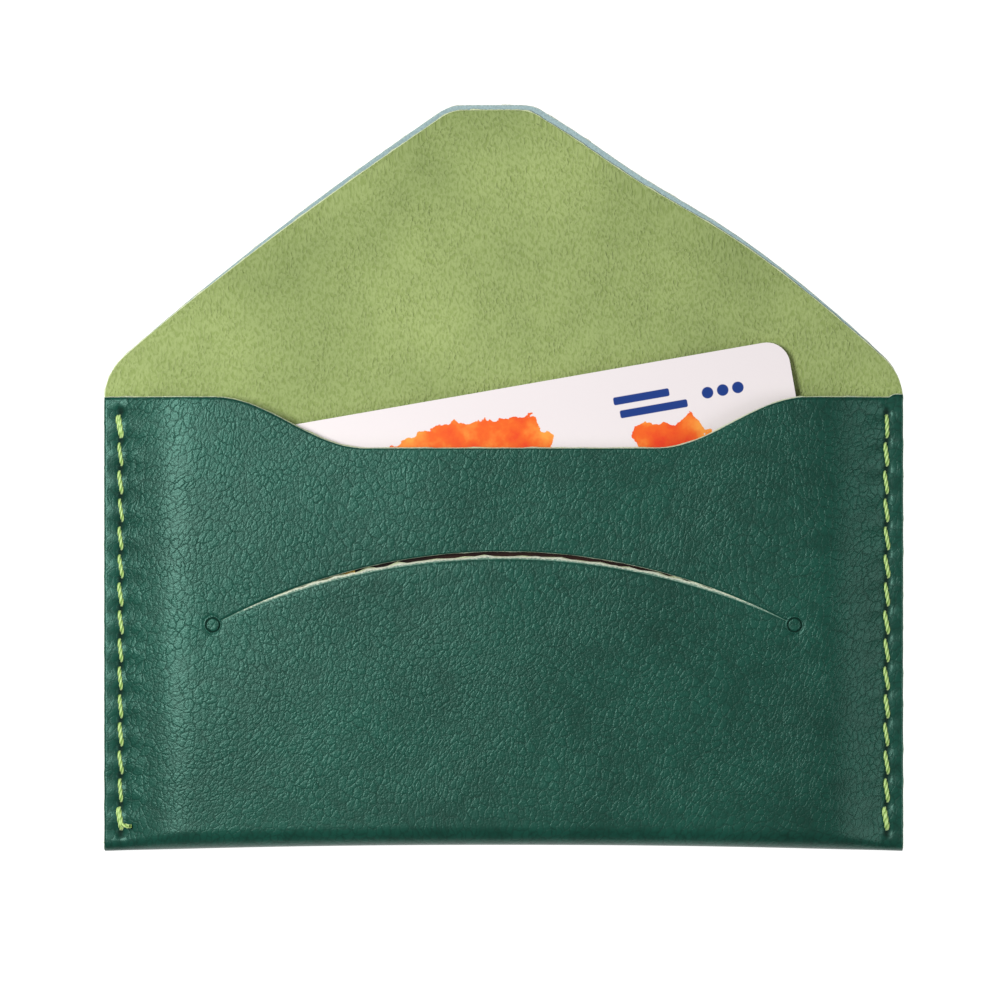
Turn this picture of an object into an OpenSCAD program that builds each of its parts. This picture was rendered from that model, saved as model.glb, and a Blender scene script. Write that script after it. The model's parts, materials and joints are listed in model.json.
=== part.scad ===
// Envelope card holder with a folded front pocket, two hand-sewn side seams and a tuck-in flap.
// It lies on its back: z = 0 is the table, +y points to the flap's tip, +z out of the front panel.

/* [Card] */
// Width of the card that the pocket is made for
card_w = 85.6; // [60:0.1:105]
// Height of the card
card_h = 53.98; // [40:0.01:66]
// Thickness of the card
card_t = 0.76; // [0.3:0.01:1]
// Corner radius of the card
card_corner = 3.18; // [2:0.01:5]
// Lean of the card in the pocket, in degrees
card_lean = 9.9; // [4:0.1:14]
// Height of the card's upper corner above the front panel's top edge
card_show = 7.5; // [5:0.1:9]
// Sideways place of the card's middle
card_shift = 1; // [-1:0.1:1]
// Room between the card's lowest corner and the pocket's bottom
card_floor_gap = 0.5; // [0.2:0.1:2]
// Room between the card's outermost corner and the pocket's sloping side
card_side_gap = 0.7; // [0.5:0.1:4]

/* [Card details] */
// Width of the chip's contact plate
chip_w = 13; // [10:0.1:14]
// Height of the chip's contact plate
chip_h = 11.8; // [9:0.1:13]
// Thickness of the chip's contact plate
chip_t = 0.1; // [0.05:0.01:0.15]
// Distance of the contact plate from the card's left edge
chip_from_left = 9.25; // [6:0.05:15]
// Distance of the contact plate from the card's top edge
chip_from_top = 17.7; // [15:0.1:22]
// Height of the magnetic stripe
stripe_h = 12.7; // [9:0.1:15]
// Thickness of the magnetic stripe
stripe_t = 0.1; // [0.05:0.01:0.15]
// Distance of the magnetic stripe from the card's top edge
stripe_from_top = 4.5; // [3.5:0.1:7]

/* [Leather] */
// Thickness of the outer leather
leather_t = 1; // [0.7:0.1:1.6]
// Thickness of the lining
lining_t = 0.4; // [0.3:0.1:0.8]
// Room inside the pocket between the two linings
pocket_gap = 2.4; // [1.6:0.1:4]
// Width of the flat sewn margin along each side
margin_w = 3.3; // [3:0.1:6]
// Width of the slope from the sewn margin up to the front panel
slope_w = 4.2; // [3.5:0.1:8]
// How far the thick middle of the bottom fold pulls in from its corners
fold_pull = 0.7; // [0.2:0.1:1.5]
// Length of the folded zone at the bottom beyond the fold's round
fold_land = 0.2; // [0.1:0.1:2]

/* [Front panel] */
// Width of the thumb scoop at the front panel's top edge
scoop_top_w = 81; // [60:0.5:84]
// Width of the scoop's flat bottom
scoop_flat_w = 39.5; // [20:0.5:50]
// Depth of the scoop
scoop_depth = 7; // [3:0.5:10]
// Sideways place of the scoop's middle
scoop_shift = 1; // [-2:0.5:2]
// Distance between the stop marks at the ends of the tuck slit
slit_w = 79.2; // [50:0.2:80]
// Depth of the stop marks below the front panel's top edge
slit_drop = 31; // [26:0.5:36]
// Rise of the slit's curve above its ends
slit_rise = 9.5; // [6:0.5:12]
// Opening of the slit at its middle
slit_open = 1.1; // [0.6:0.1:2]
// Diameter of each struck stop mark
stop_d = 2; // [1.5:0.1:3]
// Width of the struck line around a stop mark
stop_line = 0.2; // [0.1:0.05:0.4]
// Depth of the struck line
stop_depth = 0.5; // [0.2:0.1:0.6]

/* [Flap] */
// Reach of the flap beyond the front panel's top edge
flap_len = 40; // [34:0.5:50]
// Width of the flap's flat tip
tip_w = 12; // [6:0.5:30]
// Sideways place of the tip's middle
tip_shift = -1.5; // [-3:0.5:3]
// Length of the round at each corner of the tip
tip_round = 2; // [1:0.5:3]
// Outward bow of the flap's left side
left_bow = 0.85; // [0:0.05:3]
// Outward bow of the flap's right side
right_bow = 1.8; // [0:0.05:3]
// Radius of the flap's shoulders
shoulder_r = 7.5; // [4:0.5:12]
// Turn of each shoulder, in degrees
shoulder_turn = 50; // [35:1:60]
// How far the card's upper corner stands past the flap's crease
card_past_crease = 1; // [0.5:0.1:1.3]
// Clearance between the closed flap and the front panel
flap_rest_gap = 0.4; // [0.2:0.1:2]
// Clearance between the body and the flap along the crease
crease_gap = 0.2; // [0.1:0.1:0.5]

/* [Seams] */
// Distance of the stitch line from the side edge
stitch_inset = 2.2; // [1.6:0.1:2.4]
// Spacing of the stitch holes, rounded so that they fill the seam
stitch_pitch = 3.83; // [3:0.01:5]
// Distance of the first hole from the front panel's top edge
seam_head = 2; // [1.5:0.1:5]
// Distance of the last hole from the bottom edge
seam_foot = 2.6; // [2:0.1:5]
// Diameter of the sewing thread
thread_d = 0.6; // [0.4:0.05:0.7]
// Diameter of a stitch hole
stitch_hole_d = 0.9; // [0.8:0.05:1]
// Width of the groove that a stitch lies in
groove_w = 0.8; // [0.75:0.05:1]
// Height that a front stitch stands proud of the leather
stitch_proud = 0.25; // [0.1:0.05:0.3]
// Depth of a back stitch below the back face
stitch_sunk = 0.05; // [0.05:0.05:0.2]

/* [Hidden] */
$fn = 48;
hull_fn = 32;
eps = 0.01;
cut_over = 1;
curve_steps = 14;

leather_colour = "#2B5A49";
lining_colour = "#A3B873";
thread_colour = "#9CC84F";
card_colour = "#F2EEEF";
chip_colour = "#C9A24B";
stripe_colour = "#2A2420";

// Half of the leaning card's width and height, measured square to the holder
card_half_x = (card_w / 2 - card_corner) * cos(card_lean) + (card_h / 2 - card_corner) * sin(card_lean)
              + card_corner;
card_half_y = (card_w / 2 - card_corner) * sin(card_lean) + (card_h / 2 - card_corner) * cos(card_lean)
              + card_corner;

// Walls and heights
wall = leather_t + lining_t;
front_z = 2 * wall + pocket_gap;
margin_z = 2 * wall;
pocket_z = wall + pocket_gap / 2;

// Plan of the body
half_flat = card_half_x + card_side_gap;
half_slope = half_flat + slope_w;
half_w = half_slope + margin_w;
front_h = fold_pull + wall + card_floor_gap + 2 * card_half_y - card_show;
top_y = front_h / 2;
bottom_y = -front_h / 2;
fold_mid_y = bottom_y + fold_pull + front_z / 2;
fold_margin_y = bottom_y + wall;
panel_y = fold_mid_y + fold_land;
tip_y = top_y + flap_len;

// Crease of the flap: the axis lies level with the middle between the open and the closed flap
crease_y = top_y + card_show - card_past_crease;
crease_z = (front_z + wall + flap_rest_gap) / 2;

// Place of the card's middle
card_y = bottom_y + fold_pull + wall + card_floor_gap + card_half_y;
card_z = pocket_z - card_t / 2;

// Stitch line
stitch_x = half_w - stitch_inset;
stitch_count = round((front_h - seam_head - seam_foot) / stitch_pitch);
stitch_step = (front_h - seam_head - seam_foot) / stitch_count;
front_stitch_z = margin_z + stitch_proud - thread_d / 2;
back_stitch_z = stitch_sunk + thread_d / 2;
front_groove_depth = thread_d - stitch_proud;
back_groove_depth = thread_d + stitch_sunk;

// Point at t on the curve that leaves a towards b and reaches c from b
function bezier(a, b, c, n) =
    [for (i = [1:n]) let (t = i / n) (1 - t) * (1 - t) * a + 2 * t * (1 - t) * b + t * t * c];

// Right or left side of the flap, from the shoulder to the tip; side is 1 or -1
function flap_side(side, bow) =
    let (c = [side * (half_w - shoulder_r), top_y],
         s = c + shoulder_r * [side * cos(shoulder_turn), sin(shoulder_turn)],
         v = [tip_shift + side * tip_w / 2, tip_y],
         chord = v - s,
         along = chord / norm(chord),
         out = side * [along[1], -along[0]],
         end = v - tip_round * along)
    concat([for (i = [0:curve_steps]) let (a = shoulder_turn * i / curve_steps)
                c + shoulder_r * [side * cos(a), sin(a)]],
           bezier(s, (s + end) / 2 + 2 * bow * out, end, curve_steps),
           bezier(end, v, v - [side * tip_round, 0], 6));

function reversed(list) = [for (i = [len(list) - 1:-1:0]) list[i]];

// Depth of the scoop's edge: a half wave from 0 at its ends to the full depth at its flat
function scoop_edge(side) =
    [for (i = [0:curve_steps]) let (t = i / curve_steps)
        [scoop_shift + side * (scoop_top_w / 2 - t * (scoop_top_w - scoop_flat_w) / 2),
         top_y - scoop_depth * (1 - cos(180 * t)) / 2]];

// Extrudes an x-z outline along y
module along_y(from, to) {
    translate([0, to, 0])
        rotate([90, 0, 0])
            linear_extrude(to - from)
                children();
}

// Plate with the plan of the back and flap, from z = low to z = high, between two y values
module hide_plate(low, high, from, to) {
    intersection() {
        translate([0, 0, low])
            linear_extrude(high - low)
                polygon(concat([[-half_w, bottom_y], [half_w, bottom_y]],
                               flap_side(1, right_bow), reversed(flap_side(-1, left_bow))));
        translate([-half_w - cut_over, from, low - cut_over])
            cube([2 * (half_w + cut_over), to - from, high - low + 2 * cut_over]);
    }
}

// Front wall between its heights above the margin's foot: flat margins, slopes and a raised middle
module front_wall(low, high) {
    rise = pocket_gap;
    along_y(panel_y, top_y)
        polygon([[-half_w, low], [-half_slope, low], [-half_flat, low + rise],
                 [half_flat, low + rise], [half_slope, low], [half_w, low],
                 [half_w, high], [half_slope, high], [half_flat, high + rise],
                 [-half_flat, high + rise], [-half_slope, high], [-half_w, high]]);
}

module scoop_cut() {
    over_y = top_y + cut_over;
    over = [[scoop_shift - scoop_top_w / 2, over_y], [scoop_shift + scoop_top_w / 2, over_y]];
    translate([0, 0, -cut_over])
        linear_extrude(front_z + 2 * cut_over)
            polygon(concat(over, scoop_edge(1), reversed(scoop_edge(-1))));
}

// Disc bounded by the arc over the slit's chord that rises to h, taller by over at both faces
module slit_disc(h, over) {
    r = (slit_w * slit_w / 4 + h * h) / (2 * h);
    translate([0, top_y - slit_drop + h - r, wall - over])
        cylinder(r = r, h = front_z + 2 * over, $fn = 180);
}

// Crescent between two arcs that meet at the stop marks
module slit_cut() {
    difference() {
        slit_disc(slit_rise + slit_open / 2, 0);
        slit_disc(slit_rise - slit_open / 2, cut_over);
    }
}

// Struck ring at each end of the slit, with its disc left standing
module stop_marks() {
    for (side = [-1, 1])
        translate([side * slit_w / 2, top_y - slit_drop, front_z - stop_depth])
            difference() {
                cylinder(d = stop_d, h = stop_depth + cut_over);
                translate([0, 0, -cut_over])
                    cylinder(d = stop_d - 2 * stop_line, h = stop_depth + 3 * cut_over);
            }
}

// Holes of both seams
module stitch_holes() {
    for (side = [-1, 1])
        for (i = [0:stitch_count])
            translate([side * stitch_x, top_y - seam_head - i * stitch_step, -cut_over])
                cylinder(d = stitch_hole_d, h = margin_z + 2 * cut_over);
}

// Grooves of both seams on the front, and on the back
module front_grooves() {
    for (side = [-1, 1])
        translate([side * stitch_x - groove_w / 2, bottom_y + seam_foot, margin_z - front_groove_depth])
            cube([groove_w, front_h - seam_head - seam_foot, front_groove_depth + cut_over]);
}

module back_grooves() {
    for (side = [-1, 1])
        translate([side * stitch_x - groove_w / 2, bottom_y + seam_foot, -cut_over])
            cube([groove_w, front_h - seam_head - seam_foot, back_groove_depth + cut_over]);
}

// Piece of a flattened fold between two x values: a round of radius r running into a straight stack
module fold_slab(from, to, r, mid_z, mid_y) {
    translate([from, mid_y, mid_z])
        rotate([0, 90, 0])
            cylinder(r = r, h = to - from);
    translate([from, mid_y, mid_z - r])
        cube([to - from, panel_y + cut_over - mid_y, 2 * r]);
}

// Raised middle of the fold filled up to the radius r_mid, sloping to the radius r_margin at its ends
module fold_middle(r_mid, r_margin) {
    fold_slab(-half_flat, half_flat, r_mid, front_z / 2, fold_mid_y);
    for (side = [0, 1])
        mirror([side, 0, 0])
            hull($fn = hull_fn) {
                fold_slab(half_flat - eps, half_flat, r_mid, front_z / 2, fold_mid_y);
                fold_slab(half_slope, half_slope + eps, r_margin, wall, fold_margin_y);
            }
}

// Flat ends of the fold at the sewn margins, filled up to the radius r
module fold_margins(r) {
    for (side = [0, 1])
        mirror([side, 0, 0])
            fold_slab(half_slope, half_w + cut_over, r, wall, fold_margin_y);
}

// Keeps what lies below the line where the fold meets the panels
module fold_zone() {
    intersection() {
        children();
        translate([-half_w, bottom_y, 0])
            cube([2 * half_w, panel_y - bottom_y, front_z]);
    }
}

module front_leather() {
    color(leather_colour)
        difference() {
            front_wall(wall + lining_t, margin_z);
            scoop_cut();
            slit_cut();
            stop_marks();
            stitch_holes();
            front_grooves();
        }
}

module front_lining() {
    color(lining_colour)
        difference() {
            front_wall(wall, wall + lining_t);
            scoop_cut();
            slit_cut();
            stitch_holes();
        }
}

module bottom_fold_leather() {
    color(leather_colour)
        fold_zone()
            difference() {
                union() {
                    fold_middle(front_z / 2, wall);
                    fold_margins(wall);
                }
                fold_middle(front_z / 2 - leather_t, lining_t);
                fold_margins(lining_t);
                stitch_holes();
                front_grooves();
                back_grooves();
            }
}

module bottom_fold_lining() {
    color(lining_colour)
        fold_zone()
            difference() {
                union() {
                    fold_middle(front_z / 2 - leather_t, lining_t);
                    fold_margins(lining_t);
                }
                fold_middle(pocket_gap / 2, eps);
                stitch_holes();
            }
}

module back_leather() {
    color(leather_colour)
        difference() {
            hide_plate(0, leather_t, panel_y, crease_y - crease_gap / 2);
            stitch_holes();
            back_grooves();
        }
}

module back_lining() {
    color(lining_colour)
        difference() {
            hide_plate(leather_t, wall, panel_y, crease_y - crease_gap / 2);
            stitch_holes();
        }
}

module flap_leather() {
    color(leather_colour)
        hide_plate(0, leather_t, crease_y + crease_gap / 2, tip_y + cut_over);
}

module flap_lining() {
    color(lining_colour)
        hide_plate(leather_t, wall, crease_y + crease_gap / 2, tip_y + cut_over);
}

// One waxed thread: a leg through every hole, with stitches between the holes on both faces
module seam_thread(x) {
    for (i = [0:stitch_count])
        translate([x, top_y - seam_head - i * stitch_step, back_stitch_z])
            cylinder(d = thread_d, h = front_stitch_z - back_stitch_z);
    for (z = [back_stitch_z, front_stitch_z])
        translate([x, bottom_y + seam_foot - thread_d / 2 + eps, z])
            rotate([-90, 0, 0])
                cylinder(d = thread_d, h = front_h - seam_head - seam_foot + thread_d - 2 * eps);
}

module left_seam_thread() {
    color(thread_colour)
        seam_thread(-stitch_x);
}

module right_seam_thread() {
    color(thread_colour)
        seam_thread(stitch_x);
}

// Places its children in the card's own frame: x along its width, its back face at z = 0
module in_card_frame() {
    translate([card_shift, card_y, card_z])
        rotate([0, 0, card_lean])
            children();
}

// Contact plate, flush with the card's face; over lengthens it past the face to cut its recess
module chip_plate(over) {
    translate([-card_w / 2 + chip_from_left, card_h / 2 - chip_from_top - chip_h, card_t - chip_t])
        cube([chip_w, chip_h, chip_t + over]);
}

// Magnetic stripe, flush with the card's back; over widens it past the card to cut its recess
module stripe_plate(over) {
    translate([-card_w / 2 - over, card_h / 2 - stripe_from_top - stripe_h, -over])
        cube([card_w + 2 * over, stripe_h, stripe_t + over]);
}

module card_body() {
    color(card_colour)
        in_card_frame()
            difference() {
                union() {
                    for (x = [-1, 1], y = [-1, 1])
                        translate([x * (card_w / 2 - card_corner), y * (card_h / 2 - card_corner), 0])
                            cylinder(r = card_corner, h = card_t);
                    translate([-card_w / 2, -card_h / 2 + card_corner, 0])
                        cube([card_w, card_h - 2 * card_corner, card_t]);
                    translate([-card_w / 2 + card_corner, -card_h / 2, 0])
                        cube([card_w - 2 * card_corner, card_h, card_t]);
                }
                chip_plate(cut_over);
                stripe_plate(cut_over);
            }
}

module card_chip() {
    color(chip_colour)
        in_card_frame()
            chip_plate(0);
}

module card_stripe() {
    color(stripe_colour)
        in_card_frame()
            stripe_plate(0);
}

front_leather();
front_lining();
bottom_fold_leather();
bottom_fold_lining();
back_leather();
back_lining();
flap_leather();
flap_lining();
left_seam_thread();
right_seam_thread();
card_body();
card_chip();
card_stripe();
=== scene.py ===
"""Looks of an envelope card holder: one folded hide of pebbled leather with a bonded lining, two
saddle-stitched side seams with twisted waxed thread, struck stop marks at the ends of the tuck slit, and a
printed plastic card.

Lengths are in millimetres until a mesh is made; MM turns them into metres. The hide is worked out as one
surface, from the front panel's top edge (row 0) down the front, round the bottom fold, up the back and out
to the flap's tip.
"""
import json

import bpy
import numpy as np
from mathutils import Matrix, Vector


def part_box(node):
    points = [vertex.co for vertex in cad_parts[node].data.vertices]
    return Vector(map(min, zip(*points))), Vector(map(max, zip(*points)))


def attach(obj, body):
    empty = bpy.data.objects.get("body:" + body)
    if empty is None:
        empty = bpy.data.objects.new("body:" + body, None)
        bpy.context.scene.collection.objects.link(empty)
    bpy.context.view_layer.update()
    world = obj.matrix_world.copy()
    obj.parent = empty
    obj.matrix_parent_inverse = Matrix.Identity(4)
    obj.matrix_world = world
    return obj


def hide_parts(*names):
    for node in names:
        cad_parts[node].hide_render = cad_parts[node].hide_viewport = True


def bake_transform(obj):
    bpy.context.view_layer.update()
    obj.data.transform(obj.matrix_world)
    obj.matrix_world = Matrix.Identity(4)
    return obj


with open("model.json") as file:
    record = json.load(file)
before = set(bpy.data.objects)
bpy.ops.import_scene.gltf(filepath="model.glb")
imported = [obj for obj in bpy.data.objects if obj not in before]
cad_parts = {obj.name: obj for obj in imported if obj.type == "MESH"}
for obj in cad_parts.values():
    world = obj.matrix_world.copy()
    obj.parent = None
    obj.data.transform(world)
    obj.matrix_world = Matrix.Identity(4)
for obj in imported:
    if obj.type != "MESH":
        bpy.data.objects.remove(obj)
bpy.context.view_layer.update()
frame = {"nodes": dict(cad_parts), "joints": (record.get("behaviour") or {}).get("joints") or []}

MM = 0.001
UV_PER_MM = 0.01

# Dyes
LEATHER_DARK = "#0F372D"
LEATHER_LIGHT = "#134438"
LINING_DARK = "#82925A"
LINING_LIGHT = "#95A568"
BLUE_INK = "#17357A"
CARD_WHITE = "#DAD3D5"
INK_FADE = 0.08         # a printed edge fades over this, in mm


# ---------------------------------------------------------------- sizes
def low(node):
    """Lowest corner of a node of the frame, in mm."""
    return np.array(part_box(node)[0]) / MM


def high(node):
    """Highest corner of a node of the frame, in mm."""
    return np.array(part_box(node)[1]) / MM


joints = {joint["name"]: joint for joint in frame["joints"]}
HALF_W = high("front_leather")[0]
TOP_Y = high("front_leather")[1]
BOTTOM_Y = low("bottom_fold_leather")[1]
TIP_Y = high("flap_leather")[1]
FRONT_Z = high("front_leather")[2]
LEATHER_T = high("back_leather")[2]
WALL = high("back_lining")[2]
MARGIN_Z = 2 * WALL
POCKET_GAP = FRONT_Z - MARGIN_Z
CREASE_Y = joints["flap_fold"]["pos_m"][1] / MM
CARD_IN = np.array(joints["card_slide"]["axis"])
CARD_MIDDLE = (low("card_body") + high("card_body")) / 2
CARD_LEAN = float(np.arctan2(CARD_IN[0], -CARD_IN[1]))
CARD_H = 53.98          # short side of a standard card

THREAD_D = high("right_seam_thread")[0] - low("right_seam_thread")[0]
SEAM_X = (high("right_seam_thread")[0] + low("right_seam_thread")[0]) / 2
SEAM_TOP = high("right_seam_thread")[1] - THREAD_D / 2
SEAM_BOTTOM = low("right_seam_thread")[1] + THREAD_D / 2
STITCH_ABOUT = 3.83     # the even spacing comes nearest to this
STITCHES = round((SEAM_TOP - SEAM_BOTTOM) / STITCH_ABOUT)
PITCH = (SEAM_TOP - SEAM_BOTTOM) / STITCHES

# Cuts in the front panel, as in the part's own design
SCOOP_TOP_W = 81
SCOOP_FLAT_W = 39.5
SCOOP_DEPTH = 7
SCOOP_SHIFT = 1
SLIT_W = 79.2
SLIT_DROP = 31
SLIT_RISE = 9.5
SLIT_OPEN = 1.1
STOP_D = 2
STOP_THICK = 0.4
STOP_GROOVE_R = 0.93
HOLE_SIDE = 0.42
SLIT_END = SLIT_W / 2 - STOP_D / 2 + 0.15

# Seams
PLY_LAY = 2.6           # the thread's plies turn once round in this length
# The cut end of the left thread, from the seam's last stitch up and inwards
CUT_END = np.array([[-52.2, -27.2, 2.2], [-52.1, -27.3, 2.75], [-51.8, -27.4, 3.15], [-51.3, -27.5, 3.45],
                    [-50.9, -27.45, 3.75]])

# Flap's plan
TIP_W = 12
TIP_SHIFT = -1.5
TIP_ROUND = 2
SIDE_BOW = {-1: 0.85, 1: 1.8}
SHOULDER_R = 7.5
SHOULDER_TURN = np.radians(50)
DIP = 1.7               # the right side dips in by this near the tip, where it runs almost straight
DIP_BELOW_TIP = 9.5     # the dip's middle
DIP_REACH = 6.2         # its half width

# Shape that the leather takes in use
FOLD_PULL = 0.9         # the thick middle of the bottom fold pulls in from its corners
PUFF_FROM = 2.9         # distance from the side edge where the front panel starts to rise
PUFF_EVEN = 6.3         # up to this distance it rises evenly
PUFF_TO = 13            # distance from the side edge where it is level
LIP_LIFT = 0.3          # the tongue under the slit stands up by this
LIP_LIFT_REACH = 3.5    # and falls off over this distance from its cut
LIP_ROLL = 0.2          # it rolls down again by this where it is cut
LIP_ROLL_REACH = 0.7
LIP_DROP = 0.12         # the upper lip hangs by this
LIP_DROP_REACH = 2.5
CORNER_UP = 0.4         # the front panel's top right corner stands up by this
CUT_SLANT = 0.22        # the tongue's cut leans out by this, so that it shows
FRONT_WAVE = 0.14       # used leather is uneven by this over the pocket
FLAP_WAVE = 0.09        # and by this on the flap
CREASE_HUMP = 0.45      # a flap that has been folded keeps a low hump along its crease
HUMP_REACH = 5.5        # its half width
BEND_SPAN = 6           # the flap's rows are close together up to this distance past the crease


# ---------------------------------------------------------------- curves of the design
def smoothstep(t):
    """3 t^2 - 2 t^3, with t held between 0 and 1."""
    t = np.clip(t, 0, 1)
    return t * t * (3 - 2 * t)


def bell(distance, width):
    """exp(-(distance / width)^2)."""
    return np.exp(-(distance / width) ** 2)


def scoop_edge(x):
    """Depth of the front's top edge: half a cosine wave from 0 at the scoop's ends to its full depth."""
    t = (SCOOP_TOP_W / 2 - np.abs(x - SCOOP_SHIFT)) / ((SCOOP_TOP_W - SCOOP_FLAT_W) / 2)
    return SCOOP_DEPTH * (1 - np.cos(np.pi * np.clip(t, 0, 1))) / 2


def slit_line(x):
    """Depth of the slit's middle line below the top edge: a circle's arc over its chord, level outside it."""
    half = SLIT_W / 2
    r = (half ** 2 + SLIT_RISE ** 2) / (2 * SLIT_RISE)
    return SLIT_DROP - (np.sqrt(r * r - np.minimum(x * x, half ** 2)) - (r - SLIT_RISE))


def slit_gap(x):
    """Half the slit's opening: three parts of 1 - q^2 and one of sqrt(1 - q^2), with q = 1 at its ends."""
    room = np.maximum(1 - (x / SLIT_END) ** 2, 0)
    return SLIT_OPEN / 2 * (0.75 * room + 0.25 * np.sqrt(room))


def front_height(x):
    """Height of the front's outer face: the margin's, then an even rise, then one whose slope falls as
    1 - smoothstep(u), so that its height is u - u^3 + u^4 / 2, up to the pocket's room in all."""
    inside = HALF_W - np.abs(x)
    u = np.clip((inside - PUFF_EVEN) / (PUFF_TO - PUFF_EVEN), 0, 1)
    even = np.clip(inside, PUFF_FROM, PUFF_EVEN) - PUFF_FROM
    rise = even + (PUFF_TO - PUFF_EVEN) * (u - u ** 3 + u ** 4 / 2)
    return MARGIN_Z + POCKET_GAP * rise / ((PUFF_EVEN + PUFF_TO) / 2 - PUFF_FROM)


def fold_middle_y(x):
    """Where the fold's half round has its middle: its radius above a bottom edge that bows in by
    FOLD_PULL (1 - |x / HALF_W|^2.2)."""
    return BOTTOM_Y + FOLD_PULL * (1 - np.abs(x / HALF_W) ** 2.2) + front_height(x) / 2


def waves(x, y):
    """Low unevenness of used leather: four crossing sine waves, 15 to 41 mm long, that sum to 1 at most."""
    return (0.4 * np.sin(0.14 * x + 0.06 * y + 1.1) + 0.3 * np.sin(0.05 * x - 0.21 * y + 0.4)
            + 0.2 * np.sin(0.27 * x + 0.13 * y + 2.3) + 0.1 * np.sin(-0.31 * x + 0.3 * y))


def flap_side(side):
    """Points on one side of the flap: a shoulder's arc, then two quadratic Bezier curves to the tip."""
    turn = np.linspace(0, SHOULDER_TURN, 24)
    middle = np.array([side * (HALF_W - SHOULDER_R), TOP_Y])
    arc = middle + SHOULDER_R * np.stack([side * np.cos(turn), np.sin(turn)], 1)
    corner = np.array([TIP_SHIFT + side * TIP_W / 2, TIP_Y])
    along = (corner - arc[-1]) / np.linalg.norm(corner - arc[-1])
    out = side * np.array([along[1], -along[0]])
    end = corner - TIP_ROUND * along
    t = np.linspace(0, 1, 40)[1:, None]
    pull = (arc[-1] + end) / 2 + 2 * SIDE_BOW[side] * out
    long_side = (1 - t) ** 2 * arc[-1] + 2 * t * (1 - t) * pull + t * t * end
    flat = corner - [side * TIP_ROUND, 0]
    tip = (1 - t) ** 2 * end + 2 * t * (1 - t) * corner + t * t * flat
    return np.concatenate([arc, long_side, tip])


# ---------------------------------------------------------------- the hide's surface
def mirrored(right):
    """A sorted list of columns, from those of its right half, which starts at 0."""
    right = np.array(right)
    return np.concatenate([-right[:0:-1], right])


def hide_columns(fine):
    """Where the grid's columns stand on the body: close together at the seams and at the stop marks."""
    near_seam = np.linspace(SEAM_X - 1.2, SEAM_X + 1.1, 13 if fine else 4)
    mark = SLIT_W / 2
    counts = (35, 11, 6, 10) if fine else (29, 4, 4, 6)
    stops = (0, mark - 1.6, mark + 1.6, HALF_W - 8, near_seam[0])
    steps = list(zip(stops, stops[1:], counts))
    right = [np.linspace(a, b, n, endpoint=False) for a, b, n in steps]
    edge = np.linspace(near_seam[-1], HALF_W, 4)[1:]
    return mirrored(np.concatenate([*right, near_seam, edge]))


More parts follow.
